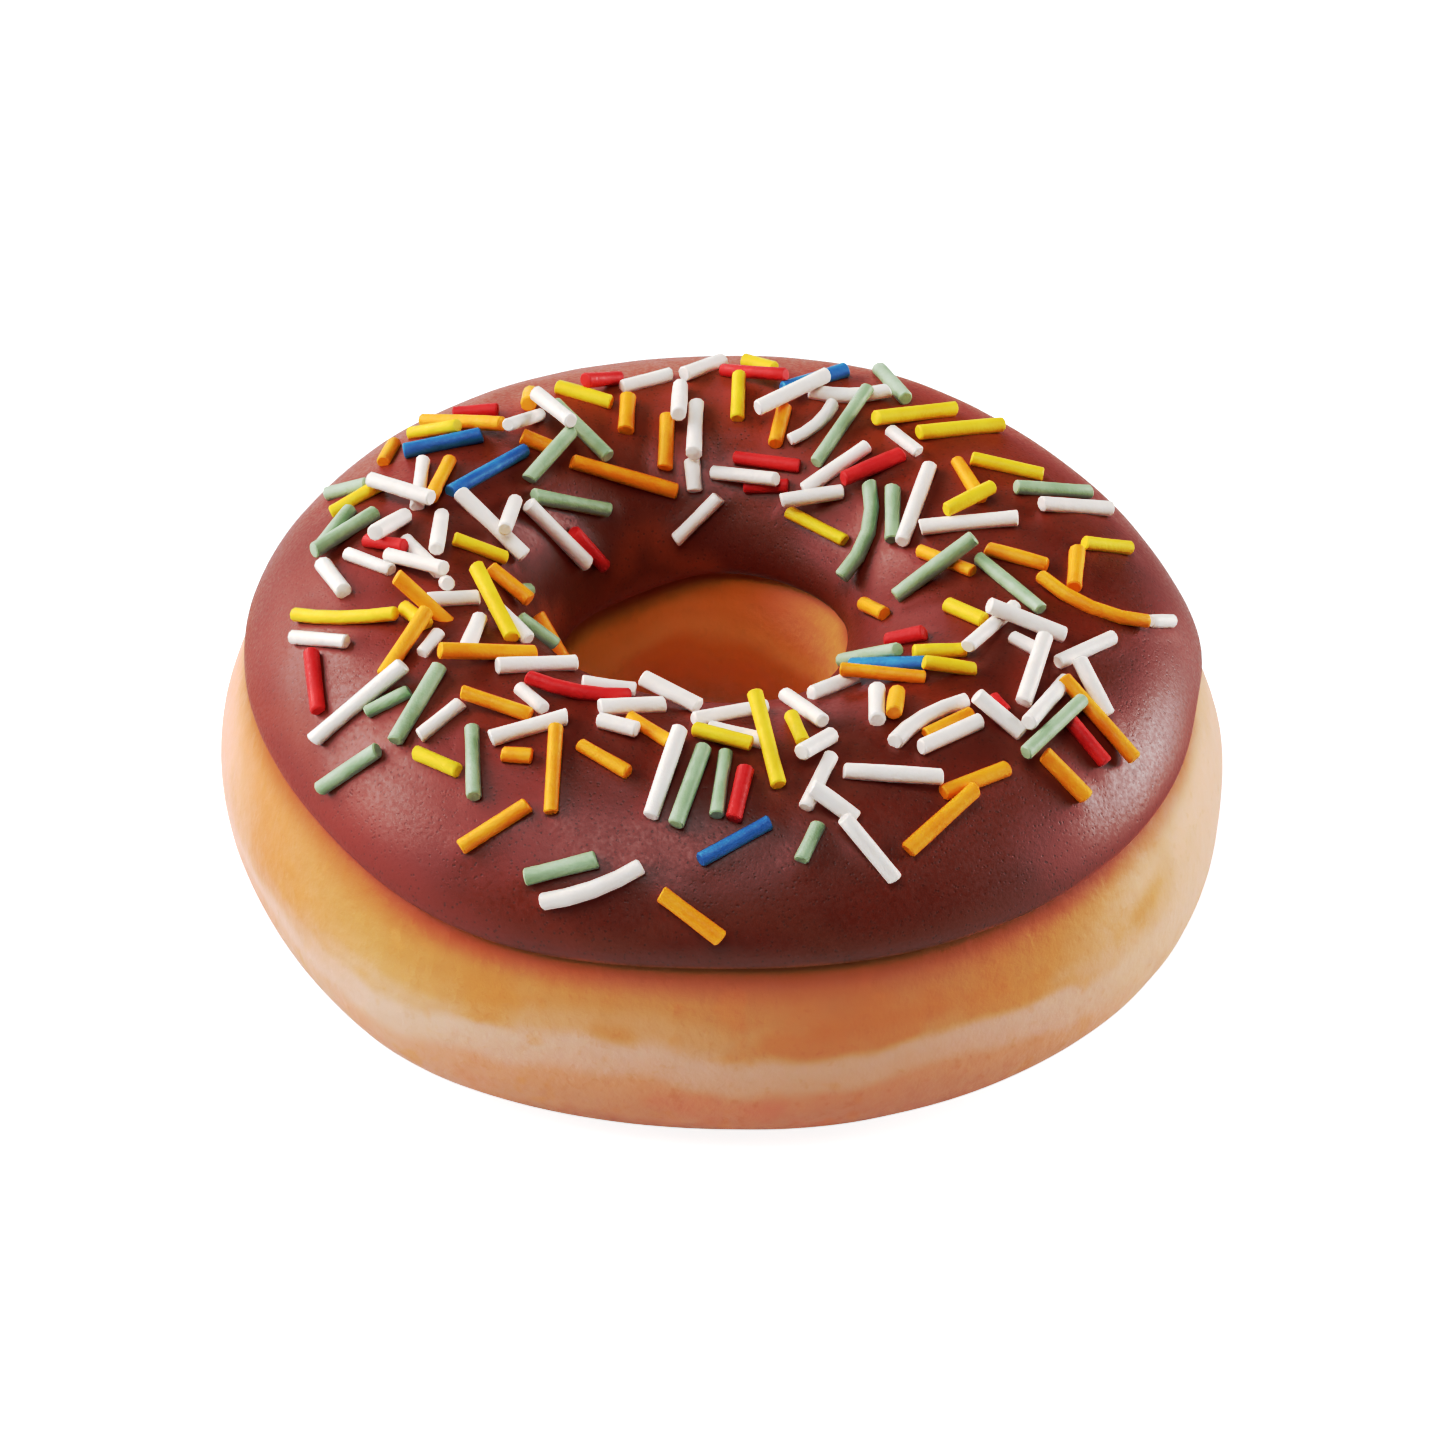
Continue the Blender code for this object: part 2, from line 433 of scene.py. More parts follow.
def make_master():
    """One straight strand along Z: a rod with softly rounded ends, cut across into lengths."""
    deselect()
    bpy.ops.mesh.primitive_cylinder_add(
        vertices=STRAND_SIDES, radius=STRAND_RADIUS, depth=STRAND_LENGTH, end_fill_type="NGON"
    )
    master = bpy.context.object
    master.name = "strand_master"
    select_edges(master, lambda first, second: abs(first - second) > STRAND_LENGTH / 2)
    bpy.ops.mesh.subdivide(number_cuts=STRAND_CUTS)
    near_end = STRAND_LENGTH * 0.49
    select_edges(master, lambda first, second: min(abs(first), abs(second)) > near_end)
    bpy.ops.mesh.bevel(offset=STRAND_EDGE, segments=1, affect="EDGES")
    bpy.ops.object.mode_set(mode="OBJECT")
    master.data.shade_smooth()
    return master


def heading_of(strand):
    """The way a strand points, in plan."""
    heading = math.radians(strand["heading"])
    return Vector((math.cos(heading), math.sin(heading)))


def surface_under(tree, x, y):
    """Where a line straight down meets the icing, and the way the icing faces there."""
    place, outward, _, _ = tree.ray_cast(Vector((x, y, CEILING)), Vector((0, 0, -1)))
    if place is None:
        return None
    return place, outward


def strand_path(strand, stations, tilt):
    """Plan positions of the strand's centre line at the stations along it."""
    along = heading_of(strand)
    left = Vector((-along.y, along.x))
    half = strand["length"] / 2
    shrink = math.cos(tilt)
    points = []
    for station in stations:
        bow = strand["bow"] * (1 - (station / half) ** 2)
        points.append(strand["place"] + along * station * shrink + left * bow)
    return points


def support_heights(path, radius, tree, laid):
    """How high the centre line has to be at each point of its path to clear what is below."""
    heights = []
    for point in path:
        hit = surface_under(tree, point.x, point.y)
        if hit is None:
            return None
        place, outward = hit
        if outward.z < STEEPEST:
            return None
        height = place.z + (radius - STRAND_SINK) / outward.z
        for other in laid:
            if (other["place"] - point).length > other["length"] / 2 + 3 * radius:
                continue
            reach = radius + other["radius"]
            for axis in other["axis"]:
                away = (axis.xy - point).length_squared
                if away < reach * reach:
                    height = max(height, axis.z + math.sqrt(reach * reach - away) - PRESSED)
        heights.append(height)
    return heights


def resting_line(stations, heights):
    """Height at the middle and slope of a straight strand that rests on these heights."""
    middle = len(stations) // 2
    best = heights[middle]
    step = stations[middle + 1] - stations[middle - 1]
    slope = (heights[middle + 1] - heights[middle - 1]) / step
    for before in range(middle):
        for after in range(middle + 1, len(stations)):
            run = stations[after] - stations[before]
            rise = heights[after] - heights[before]
            at_middle = heights[before] - stations[before] * rise / run
            if at_middle > best:
                best = at_middle
                slope = rise / run
    return best, slope


def mean_lift(strand, tree):
    """How far a strand stands off the icing on the average, over just touching it."""
    lifts = []
    for point in strand["axis"]:
        place, outward = surface_under(tree, point.x, point.y)
        lifts.append((point.z - place.z) * outward.z - strand["radius"])
    return sum(lifts) / len(lifts)


def rest(strand, tree, laid):
    """Lets a strand come to rest where it is. False where it would roll off."""
    half = strand["length"] / 2
    stations = [half * (2 * index / (STATIONS - 1) - 1) for index in range(STATIONS)]
    under = surface_under(tree, strand["place"].x, strand["place"].y)
    if under is None:
        return False
    outward = under[1]
    tilt = math.atan2(-outward.xy.dot(heading_of(strand)), outward.z)
    for _ in range(ROUNDS):
        path = strand_path(strand, stations, tilt)
        heights = support_heights(path, strand["radius"], tree, laid)
        if heights is None:
            return False
        middle, slope = resting_line([s * math.cos(tilt) for s in stations], heights)
        tilt = math.atan(slope)
    strand["tilt"] = tilt
    strand["axis"] = [
        Vector((point.x, point.y, middle + slope * station * math.cos(tilt)))
        for point, station in zip(path, stations)
    ]
    strand["lift"] = mean_lift(strand, tree)
    return True


def settle(strand, tree, laid):
    """The strand at rest, slid a little to where it lies lowest, or None where it rolls off."""
    best = None
    near = [other for other in laid if (other["place"] - strand["place"]).length < NEAR]
    for reach, ways in NUDGES:
        for way in range(ways):
            angle = math.tau * way / ways
            shift = Vector((math.cos(angle), math.sin(angle))) * reach * MM
            trial = dict(strand, place=strand["place"] + shift)
            if not rest(trial, tree, near):
                continue
            trial["cost"] = trial["lift"] + SLIDE_COST * reach * MM
            if best is None or trial["cost"] < best["cost"]:
                best = trial
        if best and best["lift"] < LOW_ENOUGH:
            break
    return best


def new_strand(draw, colour, right, back, heading, length, bow=0.0):
    return {
        "colour": colour,
        "place": Vector((right, back)) * MM,
        "heading": heading,
        "length": length * MM,
        "bow": bow * MM,
        "radius": STRAND_RADIUS * draw.uniform(THINNEST, THICKEST),
    }


def lay_strands(tree):
    """Lays the strands one after another, and leaves off any that would roll off the icing."""
    draw = random.Random(LAYING_SEED)
    laid = []
    rows = LEFT_STRANDS + HOLE_EDGE_STRANDS + RIGHT_STRANDS + BACK_STRANDS + FRONT_STRANDS
    for row in rows:
        strand = settle(new_strand(draw, *row), tree, laid)
        if strand:
            laid.append(strand)
    return laid


def strand_mesh(master, strand, draw):
    """A copy of the master, stretched to the strand's length and bent along its resting line."""
    piece = master.copy()
    piece.data = master.data.copy()
    bpy.context.scene.collection.objects.link(piece)
    half = strand["length"] / 2
    master_half = STRAND_LENGTH / 2
    end = 2 * STRAND_EDGE  # this much at each end isn't stretched
    tilt = strand["tilt"]
    along = heading_of(strand).to_3d()
    upward = Vector((0, 0, math.sin(tilt)))
    forward = (along * math.cos(tilt) + upward).normalized()
    left = Vector((-along.y, along.x, 0.0))
    up = forward.cross(left)
    middle = strand["axis"][len(strand["axis"]) // 2] - left * strand["bow"]
    grow = strand["radius"] / STRAND_RADIUS
    roll = draw.uniform(0, math.tau)
    slants = [draw.uniform(-SLANT, SLANT) for _ in range(4)]
    waist = draw.uniform(-WAIST, WAIST)
    for vertex in piece.data.vertices:
        local = vertex.co
        from_end = master_half - abs(local.z)
        if from_end < end:
            station = math.copysign(half - from_end, local.z)
        else:
            station = local.z * (half - end) / (master_half - end)
        swell = grow * (1 + waist * math.cos(station / half * WAIST_RUN + roll))
        across = (local.x * math.cos(roll) - local.y * math.sin(roll)) * swell
        rise = (local.x * math.sin(roll) + local.y * math.cos(roll)) * swell
        if from_end < end:
            side = 0 if local.z > 0 else 2
            station += slants[side] * across + slants[side + 1] * rise
        bow = strand["bow"] * (1 - (station / half) ** 2)
        turn = math.atan(-2 * strand["bow"] * station / (half * half))
        centre = middle + forward * station + left * bow
        out = left * math.cos(turn) - forward * math.sin(turn)
        vertex.co = centre + out * across + up * rise
    return piece


def join_strands(pieces, name):
    """All the strands of one colour as one piece, with their faces outwards."""
    deselect()
    for piece in pieces:
        piece.select_set(True)
    bpy.context.view_layer.objects.active = pieces[0]
    bpy.ops.object.join()
    heap = bpy.context.object
    heap.name = name
    heap.data.name = name
    pick(heap)
    bpy.ops.object.mode_set(mode="EDIT")
    bpy.ops.mesh.select_all(action="SELECT")
    bpy.ops.mesh.normals_make_consistent(inside=False)
    bpy.ops.object.mode_set(mode="OBJECT")
    bpy.ops.object.shade_smooth_by_angle(angle=SHARP_EDGE)
    return heap


def make_strands(laid):
    master = make_master()
    draw = random.Random(SHAPE_SEED)
    pieces = {colour: [] for colour in STRAND_TINTS}
    for strand in laid:
        pieces[strand["colour"]].append(strand_mesh(master, strand, draw))
    bpy.data.objects.remove(master, do_unlink=True)
    return {colour: join_strands(same, "strands_" + colour) for colour, same in pieces.items()}


# ---------------------------------------------------------------- materials


def new_material(name):
    material = bpy.data.materials.new(name)
    material.use_nodes = True
    tree = material.node_tree
    return material, tree, tree.nodes["Principled BSDF"]


def plug(tree, socket, value):
    """Links a socket to another node's output, or sets it to a plain value."""
    if hasattr(value, "links"):
        tree.links.new(value, socket)
    else:
        socket.default_value = value


def add_node(tree, kind, inputs=None, **settings):
    node = tree.nodes.new(kind)
    for name, value in settings.items():
        setattr(node, name, value)
    for name, value in (inputs or {}).items():
        plug(tree, node.inputs[name], value)
    return node


def maths(tree, operation, first, second=0.0, third=0.0, clamp=False):
    node = add_node(tree, "ShaderNodeMath", operation=operation, use_clamp=clamp)
    for socket, value in zip(node.inputs, (first, second, third)):
        plug(tree, socket, value)
    return node.outputs[0]


def times(tree, first, second):
    return maths(tree, "MULTIPLY", first, second)


def mix(tree, share, first, second):
    """One colour laid over another, by a share from 0 to 1."""
    node = add_node(tree, "ShaderNodeMix", data_type="RGBA")
    for name, value in (("Factor", share), ("A", first), ("B", second)):
        socket = [s for s in node.inputs if s.name == name and s.enabled][0]
        plug(tree, socket, (*value, 1.0) if isinstance(value, tuple) else value)
    return [s for s in node.outputs if s.enabled][0]


def between(tree, value, low, high, start=0.0, end=1.0):
    """A soft step: start below low, end above high."""
    node = add_node(
        tree,
        "ShaderNodeMapRange",
        {"Value": value, "From Min": low, "From Max": high, "To Min": start, "To Max": end},
        interpolation_type="SMOOTHSTEP",
    )
    return node.outputs["Result"]


def ramp(tree, factor, stops):
    node = add_node(tree, "ShaderNodeValToRGB", {"Fac": factor})
    node.color_ramp.interpolation = "EASE"
    elements = node.color_ramp.elements
    while len(elements) < len(stops):
        elements.new(0.5)
    for element, (position, colour) in zip(elements, stops):
        element.position = position
        element.color = (*colour, 1.0)
    return node.outputs["Color"]


def new_group(name, inputs):
    """An empty node group: a Place vector and these numbers go in, and a Mask comes out."""
    group = bpy.data.node_groups.new(name, "ShaderNodeTree")
    group.interface.new_socket("Place", in_out="INPUT", socket_type="NodeSocketVector")
    for label, value in inputs:
        socket = group.interface.new_socket(label, in_out="INPUT", socket_type="NodeSocketFloat")
        socket.default_value = value
    group.interface.new_socket("Mask", in_out="OUTPUT", socket_type="NodeSocketFloat")
    given = group.nodes.new("NodeGroupInput")
    result = group.nodes.new("NodeGroupOutput")
    return group, given.outputs, result.inputs["Mask"]


def clouds_group():
    """Soft clouds: a mask that wanders from 0 to 1, of a given size in metres."""
    inputs = (("Size", 0.01), ("Detail", 3.0), ("Low", 0.4), ("High", 0.6))
    group, given, mask = new_group("clouds", inputs)
    scale = maths(group, "DIVIDE", 1.0, given["Size"])
    cloud = add_node(
        group,
        "ShaderNodeTexNoise",
        {"Vector": given["Place"], "Scale": scale, "Detail": given["Detail"], "Roughness": 0.55},
    )
    group.links.new(between(group, cloud.outputs["Fac"], given["Low"], given["High"]), mask)
    return group


def pores_group():
    """Small round pores: a mask that is 1 in each pore, a given spacing apart in metres."""
    inputs = (("Spacing", 0.001), ("Width", 0.3))
    group, given, mask = new_group("pores", inputs)
    scale = maths(group, "DIVIDE", 1.0, given["Spacing"])
    cells = add_node(group, "ShaderNodeTexVoronoi", {"Vector": given["Place"], "Scale": scale})
    core = times(group, given["Width"], 0.4)
    edge = between(group, cells.outputs["Distance"], core, given["Width"], 1.0, 0.0)
    group.links.new(edge, mask)
    return group


CLOUDS = clouds_group()
PORES = pores_group()


def clouds(tree, place, size, low=0.4, high=0.6, detail=3.0):
    inputs = {"Place": place, "Size": size, "Low": low, "High": high, "Detail": detail}
    return add_node(tree, "ShaderNodeGroup", node_tree=CLOUDS, inputs=inputs).outputs["Mask"]


def pores(tree, place, spacing, width):
    inputs = {"Place": place, "Spacing": spacing, "Width": width}
    return add_node(tree, "ShaderNodeGroup", node_tree=PORES, inputs=inputs).outputs["Mask"]


def object_place(tree):
    return add_node(tree, "ShaderNodeTexCoord").outputs["Object"]


def parts_of(tree, place):
    return add_node(tree, "ShaderNodeSeparateXYZ", {"Vector": place}).outputs


def attribute(tree, name):
    return add_node(tree, "ShaderNodeAttribute", attribute_name=name).outputs["Fac"]


def from_hole(tree, place):
    """How far a place is from the upright line through the middle of the hole."""
    flat = add_node(tree, "ShaderNodeVectorMath", {0: place, 1: (1, 1, 0)}, operation="MULTIPLY")
    away = add_node(
        tree,
        "ShaderNodeVectorMath",
        {0: flat.outputs["Vector"], 1: HOLE_MIDDLE},
        operation="DISTANCE",
    )
    return away.outputs["Value"]


def relief(tree, shader, height, depth, strength):
    bump = add_node(
        tree, "ShaderNodeBump", {"Height": height, "Distance": depth, "Strength": strength}
    )
    tree.links.new(bump.outputs["Normal"], shader.inputs["Normal"])


def let_light_in(shader, weight, radius, scale):
    """Lets some light into the piece, red deepest."""
    shader.inputs["Subsurface Weight"].default_value = weight
    shader.inputs["Subsurface Radius"].default_value = radius
    shader.inputs["Subsurface Scale"].default_value = scale


# The crust's colour by height over the table, in mm, on the outside and down the hole.
OUTSIDE_BANDS = (
    (3.0, (0.60, 0.290, 0.200)),
    (5.5, (0.71, 0.350, 0.240)),
    (8.4, (0.77, 0.370, 0.245)),
    (10.2, (0.80, 0.460, 0.335)),
    (11.8, (0.79, 0.475, 0.350)),
    (13.6, (0.72, 0.380, 0.225)),
    # From here up the bands darken towards the icing: partly the fried top's own golden brown,
    # partly painted shade just under the icing's rims.
    (15.5, (0.67, 0.320, 0.150)),
    (18.0, (0.61, 0.280, 0.115)),
    (21.0, (0.52, 0.200, 0.070)),
)
HOLE_BANDS = (
    (5.0, (0.68, 0.165, 0.035)),
    (9.0, (0.74, 0.180, 0.036)),
    (11.0, (0.76, 0.220, 0.046)),
    (13.0, (0.84, 0.400, 0.095)),
    (15.0, (0.80, 0.330, 0.072)),
    (17.0, (0.70, 0.240, 0.048)),
    (20.0, (0.62, 0.190, 0.036)),
)
BAND_TOP = 24.0

# Colours laid over those bands.
PATCH_GOLD = (0.68, 0.270, 0.070)
DEEP_GOLD = (0.66, 0.215, 0.095)
ROSE = (0.78, 0.320, 0.215)
ORANGE_SPOT = (0.74, 0.300, 0.110)
# Paler dough at the ring's ends, with painted sheen on its edge-on sides.
PALE_END_AND_SHEEN = (0.88, 0.490, 0.320)
# Painted light on the hole's walls: a paler orange high on the right wall, a bright orange on the
# left wall.
RIGHT_WALL_PAINTED_LIGHT = (0.84, 0.430, 0.200)
LEFT_WALL_PAINTED_LIGHT = (0.95, 0.460, 0.100)
# Painted shade under the icing's rims, with some real browning.
SHADE_AND_SUGAR_BROWN = (0.36, 0.094, 0.028)
BROWN_SPECK = (0.55, 0.200, 0.060)


def banded(tree, height, bands):
    share = maths(tree, "DIVIDE", height, BAND_TOP * MM, clamp=True)
    return ramp(tree, share, [(mm / BAND_TOP, colour) for mm, colour in bands])


def band_height(tree, place, x, z):
    """Height over the table, changed so that the bands wander in slow waves and small lobes."""
    slow = clouds(tree, place, 26 * MM, 0.3, 0.7, 1.0)
    lobes = clouds(tree, place, 7 * MM, 0.3, 0.7, 1.0)
    # Towards the left they run lower.
    height = maths(tree, "ADD", z, between(tree, x, -34 * MM, -4 * MM, 2.0 * MM, 0.0))
    height = maths(tree, "ADD", height, times(tree, slow, 1.8 * MM))
    height = maths(tree, "ADD", height, times(tree, lobes, 1.0 * MM))
    return maths(tree, "SUBTRACT", height, 1.4 * MM)


def outside_colour(tree, place, x, height):
    """The outside of the ring: golden on top, a pale belt where it floated, and pinker below."""
    outside = banded(tree, height, OUTSIDE_BANDS)
    # Darker gold gathers in patches along the low edge of the golden part.
    patches = clouds(tree, place, 8 * MM, 0.42, 0.62, 2.0)
    golden = between(tree, height, 12.2 * MM, 13.4 * MM)
    golden = times(tree, golden, between(tree, height, 14.5 * MM, 19.0 * MM, 1.0, 0.3))
    gold = times(tree, patches, golden)
    outside = mix(tree, times(tree, gold, 0.6), outside, PATCH_GOLD)
    # Towards the left end the golden part is deeper.
    deeper = between(tree, x, -40 * MM, -26 * MM, 0.85, 0.0)
    deeper = times(tree, deeper, between(tree, height, 9.5 * MM, 12.0 * MM))
    outside = mix(tree, deeper, outside, DEEP_GOLD)
    # Rosy patches lower down, and orange spots all over.
    rosy = clouds(tree, place, 9 * MM, 0.46, 0.66, 2.0)
    rosy = times(tree, rosy, between(tree, height, 7.5 * MM, 9.8 * MM, 0.75, 0.0))
    outside = mix(tree, rosy, outside, ROSE)
    spots = clouds(tree, place, 3.6 * MM, 0.60, 0.74, 2.0)
    outside = mix(tree, times(tree, spots, 0.35), outside, ORANGE_SPOT)
    # Towards the right end and the far left the crust is paler: partly its own paler colour, partly
    # painted sheen where the ring's sides are seen edge-on.
    right_end = between(tree, x, 26 * MM, 38 * MM)
    left_end = between(tree, x, -44 * MM, -38 * MM, 0.9, 0.0)
    ends = maths(tree, "ADD", right_end, left_end)
    paleness_and_sheen = clouds(tree, place, 9 * MM, 0.2, 0.5, 2.0)
    paleness_and_sheen = times(tree, paleness_and_sheen, between(tree, height, 16 * MM, 20 * MM, 0.85, 0.4))
    return mix(tree, times(tree, ends, paleness_and_sheen), outside, PALE_END_AND_SHEEN)


def hole_colour(tree, x, z, height):
    """Down the hole the dough is browner, with its bands lower on the left. Its left wall, and its
    right wall higher up, get a brighter orange painted in: painted light where light falls into the
    hole.
    """
    lowered = maths(tree, "ADD", height, between(tree, x, -11 * MM, -2 * MM, 3.0 * MM, 0.0))
    inside = banded(tree, lowered, HOLE_BANDS)
    # Painted light: a paler orange high on the hole's right wall.
    right_wall_painted_light = between(tree, x, 0.0, 8 * MM)
    right_wall_painted_light = times(tree, right_wall_painted_light, between(tree, z, 13 * MM, 16 * MM, 0.0, 0.6))
    inside = mix(tree, right_wall_painted_light, inside, RIGHT_WALL_PAINTED_LIGHT)
    # Painted light: a bright orange on the hole's left wall.
    left_wall_painted_light = between(tree, x, -14 * MM, -7 * MM, 0.8, 0.0)
    return mix(tree, left_wall_painted_light, inside, LEFT_WALL_PAINTED_LIGHT)


def crust_material():
    """Fried dough, darker under the icing's rims (partly painted shade, partly browning), with
    specks, a dull shine and fine wrinkles.
    """
    material, tree, shader = new_material("fried_crust")
    place = object_place(tree)
    split = parts_of(tree, place)
    x, z = split["X"], split["Z"]
    height = band_height(tree, place, x, z)
    outside = outside_colour(tree, place, x, height)
    inside = hole_colour(tree, x, z, height)
    in_hole = between(tree, from_hole(tree, place), 17 * MM, 22 * MM, 1.0, 0.0)
    colour = mix(tree, in_hole, outside, inside)
    # Just under the icing's rims the crust is darker: partly painted shade under the rims, partly
    # browned by the icing's sugar.
    under_rim = maths(tree, "POWER", attribute(tree, "shade_and_stain"), 1.4)
    colour = mix(tree, times(tree, under_rim, 0.9), colour, SHADE_AND_SUGAR_BROWN)
    specks = clouds(tree, place, 1.1 * MM, 0.58, 0.74)
    colour = mix(tree, times(tree, specks, 0.16), colour, BROWN_SPECK)
    tree.links.new(colour, shader.inputs["Base Color"])
    skin = clouds(tree, place, 2.2 * MM, 0.25, 0.75, 5.0)
    tree.links.new(maths(tree, "MULTIPLY_ADD", skin, 0.22, 0.42), shader.inputs["Roughness"])
    shader.inputs["Specular IOR Level"].default_value = 0.35
    let_light_in(shader, 0.2, (1.0, 0.45, 0.2), 1.6 * MM)
    pits = times(tree, pores(tree, place, 1.6 * MM, 0.25), -0.25)
    relief(tree, shader, maths(tree, "ADD", skin, pits), 0.3 * MM, 0.22)
    return material


ICING_DARK = (0.172, 0.0182, 0.0076)
ICING_LIGHT = (0.205, 0.0230, 0.0104)
# Painted light: a warmer, lighter brown over the top of the far half.
ICING_FAR_TOP_PAINTED_LIGHT = (0.300, 0.0440, 0.0135)
ICING_NEAR_RIM = (0.22, 0.034, 0.012)
ICING_IN_HOLE = (0.50, 0.060, 0.010)
ICING_RIM = (0.38, 0.090, 0.026)
PINHOLE = (0.060, 0.0070, 0.0030)


def icing_body(tree, place, split, rim, hole_rim):
    """The icing's colour, before its pinholes: it is redder wherever it is thinner, and painted
    lighter over the top of its far half, as painted light.
    """
    tone = clouds(tree, place, 14 * MM, 0.35, 0.65)
    body = mix(tree, tone, ICING_DARK, ICING_LIGHT)
    # Over the top of the ring's far half a warmer, lighter brown stands in for light: painted
    # light.
    far_half = between(tree, split["Y"], 4 * MM, 30 * MM)
    top = between(tree, split["Z"], 21 * MM, 27 * MM)
    body = mix(tree, times(tree, far_half, top), body, ICING_FAR_TOP_PAINTED_LIGHT)
    body = mix(tree, maths(tree, "POWER", rim, 1.6), body, ICING_NEAR_RIM)
    body = mix(tree, hole_rim, body, ICING_IN_HOLE)
    return mix(tree, between(tree, rim, 0.75, 1.0), body, ICING_RIM)


def icing_material():
    """Set chocolate icing: dark red-brown, thin and redder at its rims, with pinholes all over."""
    material, tree, shader = new_material("chocolate_icing")
    place = object_place(tree)
    split = parts_of(tree, place)
    rim = attribute(tree, "rim")
    in_hole = between(tree, from_hole(tree, place), 15 * MM, 20 * MM, 1.0, 0.0)
    in_hole = times(tree, in_hole, between(tree, split["X"], 0.0, 7 * MM, 1.0, 0.0))
    hole_rim = times(tree, rim, in_hole)
    body = icing_body(tree, place, split, rim, hole_rim)
    pinholes = pores(tree, place, 0.42 * MM, 0.34)
    pinholes = times(tree, pinholes, clouds(tree, place, 1.3 * MM, 0.3, 0.6))
    colour = mix(tree, times(tree, pinholes, 0.45), body, PINHOLE)
    tree.links.new(colour, shader.inputs["Base Color"])
    grain = clouds(tree, place, 0.35 * MM, 0.25, 0.75, 2.0)
    dullness = maths(tree, "MULTIPLY_ADD", grain, 0.14, 0.37)
    dullness = maths(tree, "ADD", dullness, times(tree, rim, 0.12))
    dullness = maths(tree, "ADD", dullness, times(tree, hole_rim, 0.3))
    tree.links.new(dullness, shader.inputs["Roughness"])
    shader.inputs["Specular IOR Level"].default_value = 0.65
    height = maths(tree, "SUBTRACT", times(tree, grain, 0.5), pinholes)
    relief(tree, shader, height, 0.05 * MM, 0.27)
    return material


# The light and the deep tint of each colour's sugar.
STRAND_TINTS = {
    "white": ((0.97, 0.91, 0.86), (0.89, 0.81, 0.75)),
    "yellow": ((0.95, 0.66, 0.040), (0.84, 0.50, 0.018)),
    "orange": ((0.95, 0.39, 0.025), (0.88, 0.28, 0.010)),
    "green": ((0.40, 0.51, 0.36), (0.28, 0.38, 0.24)),
    "red": ((0.72, 0.042, 0.040), (0.53, 0.016, 0.021)),
    "blue": ((0.050, 0.235, 0.47), (0.022, 0.140, 0.33)),
}


def strand_material(colour):
    """Pressed sugar: matt, a little see-through, with a faint cloud in its colour."""
    material, tree, shader = new_material("sugar_" + colour)
    light, deep = STRAND_TINTS[colour]
    place = object_place(tree)
    shade = times(tree, clouds(tree, place, 2.6 * MM, 0.35, 0.65), 0.6)
    tree.links.new(mix(tree, shade, light, deep), shader.inputs["Base Color"])
    grain = clouds(tree, place, 0.3 * MM, 0.25, 0.75, 2.0)
    tree.links.new(maths(tree, "MULTIPLY_ADD", grain, 0.2, 0.36), shader.inputs["Roughness"])
    shader.inputs["Specular IOR Level"].default_value = 0.35
    let_light_in(shader, 0.2, (1.0, 0.8, 0.6), 0.5 * MM)
    relief(tree, shader, grain, 0.08 * MM, 0.25)
    return material


# ---------------------------------------------------------------- stage, light and camera

ELEVATION = math.radians(38.66)
DISTANCE = 0.409
ROLL = math.radians(2.2)
AIM = Vector((-0.0003, -0.0004, 0.0127))
LENS = 117.0
SENSOR = 36.0

FLOOR_SIZE = 6.0
FLOOR_DROP = 0.02 * MM  # keeps the floor clear of the ring's foot

LIGHT_AIM = Vector((0.0, 0.0, 0.01))
# Each softbox's name, place, width and height in metres, and power in watts.
SOFTBOXES = (
    ("left_softbox", (-0.657, 0.140, 0.345), (0.92, 0.52), 6.1),
    ("right_softbox", (0.710, 0.190, 0.175), (0.50, 0.36), 3.9),
    ("front_softbox", (-0.120, -0.258, 0.715), (0.42, 0.42), 2.3),
    ("back_softbox", (-0.180, 0.700, 0.170), (0.50, 0.30), 0.8),
)
ROOM_LIGHT = 0.02

# The camera's tone curve between black and white: how bright a tone is, and how it comes out.
TONE = (
    (0.016, 0.008),
    (0.042, 0.030),
    (0.114, 0.083),
    (0.216, 0.270),
    (0.40, 0.545),
    (0.72, 0.78),
)


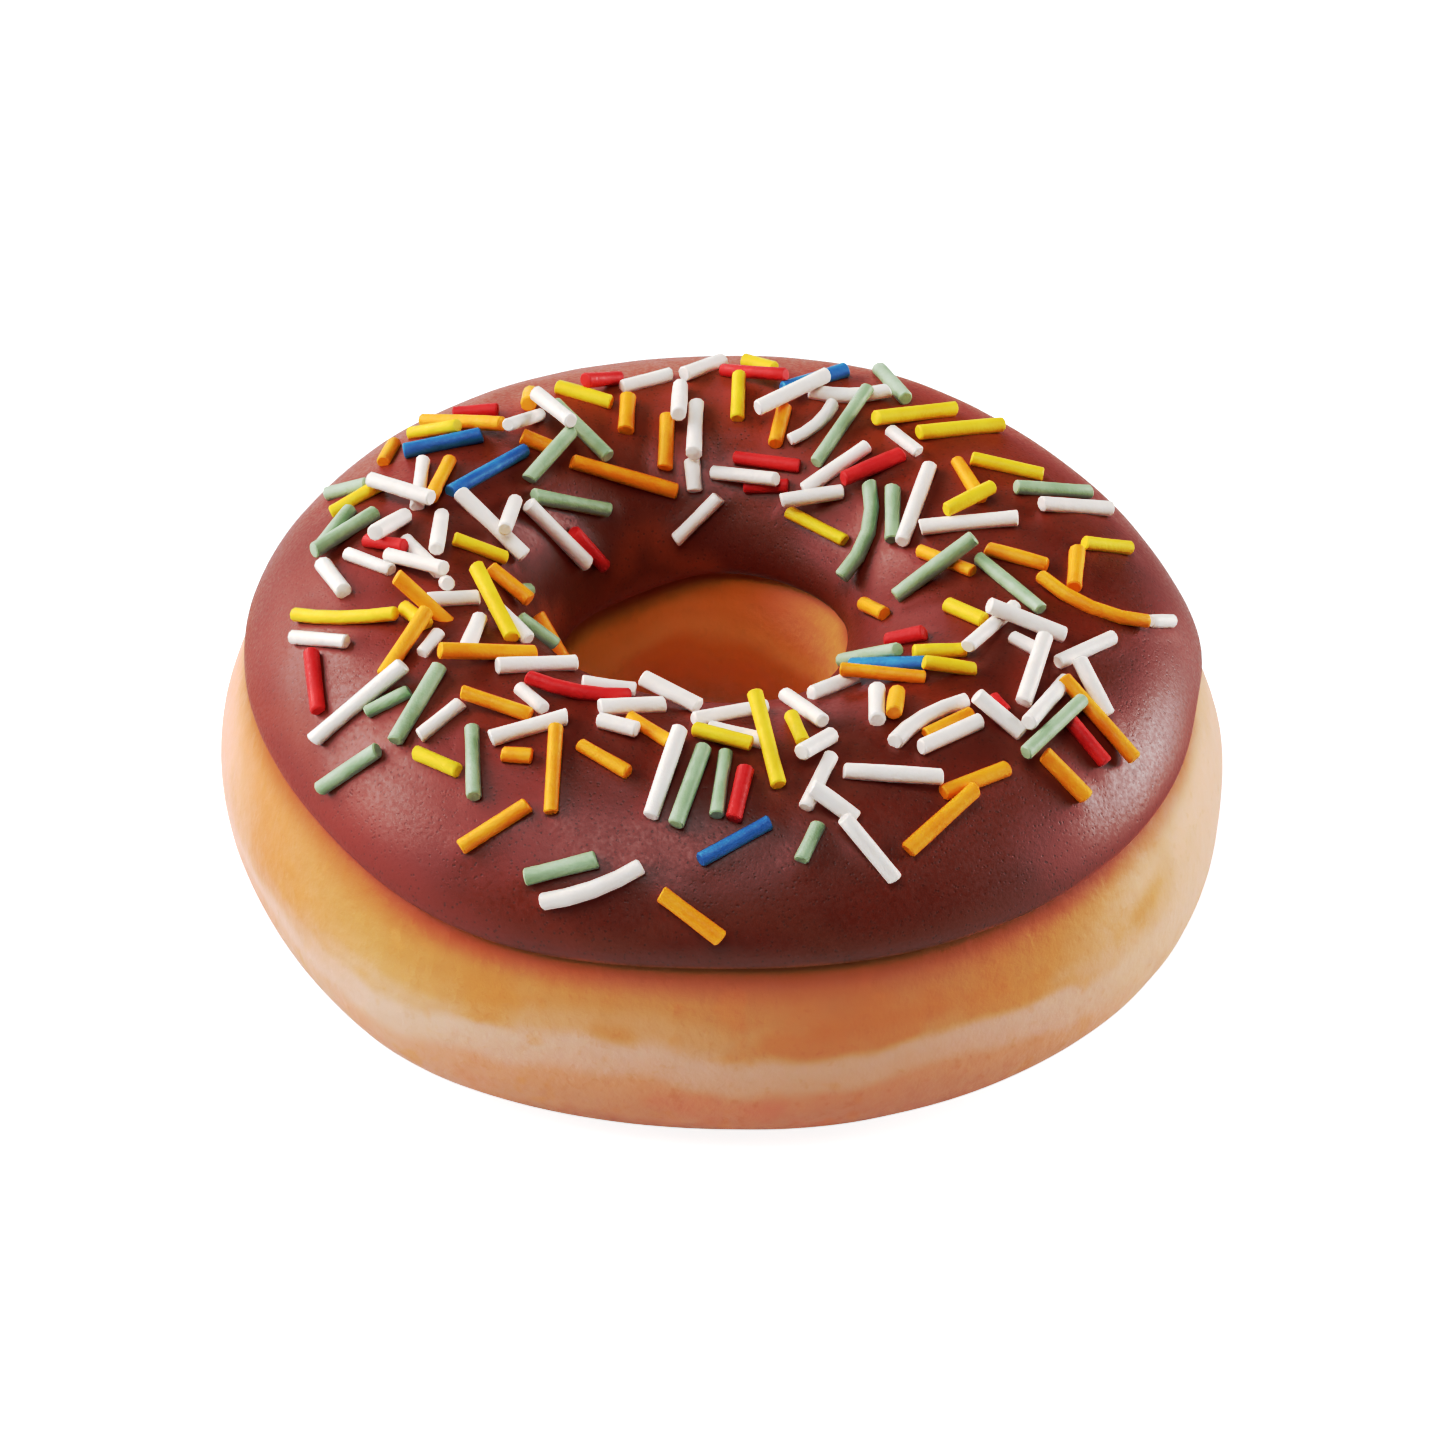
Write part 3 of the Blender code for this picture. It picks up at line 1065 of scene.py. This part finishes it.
def make_floor():
    """A pale floor. It looks white, and throws back only part of the light that falls on it."""
    deselect()
    bpy.ops.mesh.primitive_plane_add(size=FLOOR_SIZE, location=(0, 0, -FLOOR_DROP))
    floor = bpy.context.object
    floor.name = "floor"
    material, tree, shader = new_material("pale_floor")
    light = add_node(tree, "ShaderNodeLightPath").outputs
    tint = mix(tree, light["Is Camera Ray"], (0.80, 0.80, 0.80), (0.90, 0.90, 0.90))
    tree.links.new(tint, shader.inputs["Base Color"])
    shader.inputs["Roughness"].default_value = 0.9
    shader.inputs["Specular IOR Level"].default_value = 0.0
    shader.inputs["Emission Color"].default_value = (1, 1, 1, 1)
    seen = times(tree, light["Is Camera Ray"], 0.85)
    mirrored = times(tree, light["Is Glossy Ray"], 0.05)
    tree.links.new(maths(tree, "ADD", seen, mirrored), shader.inputs["Emission Strength"])
    floor.data.materials.append(material)


def add_softbox(name, place, size, power):
    data = bpy.data.lights.new(name, "AREA")
    data.shape = "RECTANGLE"
    data.size, data.size_y = size
    data.energy = power
    lamp = bpy.data.objects.new(name, data)
    bpy.context.scene.collection.objects.link(lamp)
    lamp.location = place
    lamp.rotation_euler = (LIGHT_AIM - Vector(place)).to_track_quat("-Z", "Y").to_euler()


def make_lights():
    for softbox in SOFTBOXES:
        add_softbox(*softbox)
    world = bpy.data.worlds.new("studio")
    world.use_nodes = True
    background = world.node_tree.nodes["Background"]
    background.inputs["Color"].default_value = (1, 1, 1, 1)
    background.inputs["Strength"].default_value = ROOM_LIGHT
    bpy.context.scene.world = world


def make_camera():
    data = bpy.data.cameras.new("camera")
    data.lens = LENS
    data.sensor_width = SENSOR
    camera = bpy.data.objects.new("camera", data)
    bpy.context.scene.collection.objects.link(camera)
    back = Vector((0, -math.cos(ELEVATION), math.sin(ELEVATION)))
    camera.location = AIM + back * DISTANCE
    look = (-back).to_track_quat("-Z", "Y").to_matrix() @ Matrix.Rotation(ROLL, 3, "Z")
    camera.rotation_euler = look.to_euler()
    bpy.context.scene.camera = camera


def set_tone():
    """A soft S curve: deeper darks and brighter middle tones, with white kept white."""
    view = bpy.context.scene.view_settings
    view.view_transform = "Standard"
    view.use_curve_mapping = True
    mapping = view.curve_mapping
    curve = mapping.curves[3]
    for tone, shown in TONE:
        curve.points.new(tone, shown)
    mapping.update()


# ---------------------------------------------------------------- putting it together


def finish_piece(piece, material):
    piece.data.materials.clear()
    piece.data.materials.append(material)
    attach(piece, "root")


def main():
    make_camera()
    make_lights()
    make_floor()
    crust = make_crust()
    icing = make_icing(crust, tree_of(crust))
    laid = lay_strands(tree_of(icing))
    strands = make_strands(laid)
    relieve_icing(icing, laid)
    finish_piece(crust, crust_material())
    finish_piece(icing, icing_material())
    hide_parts("dough")
    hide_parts("icing")
    for colour, heap in strands.items():
        finish_piece(heap, strand_material(colour))
    set_tone()


main()
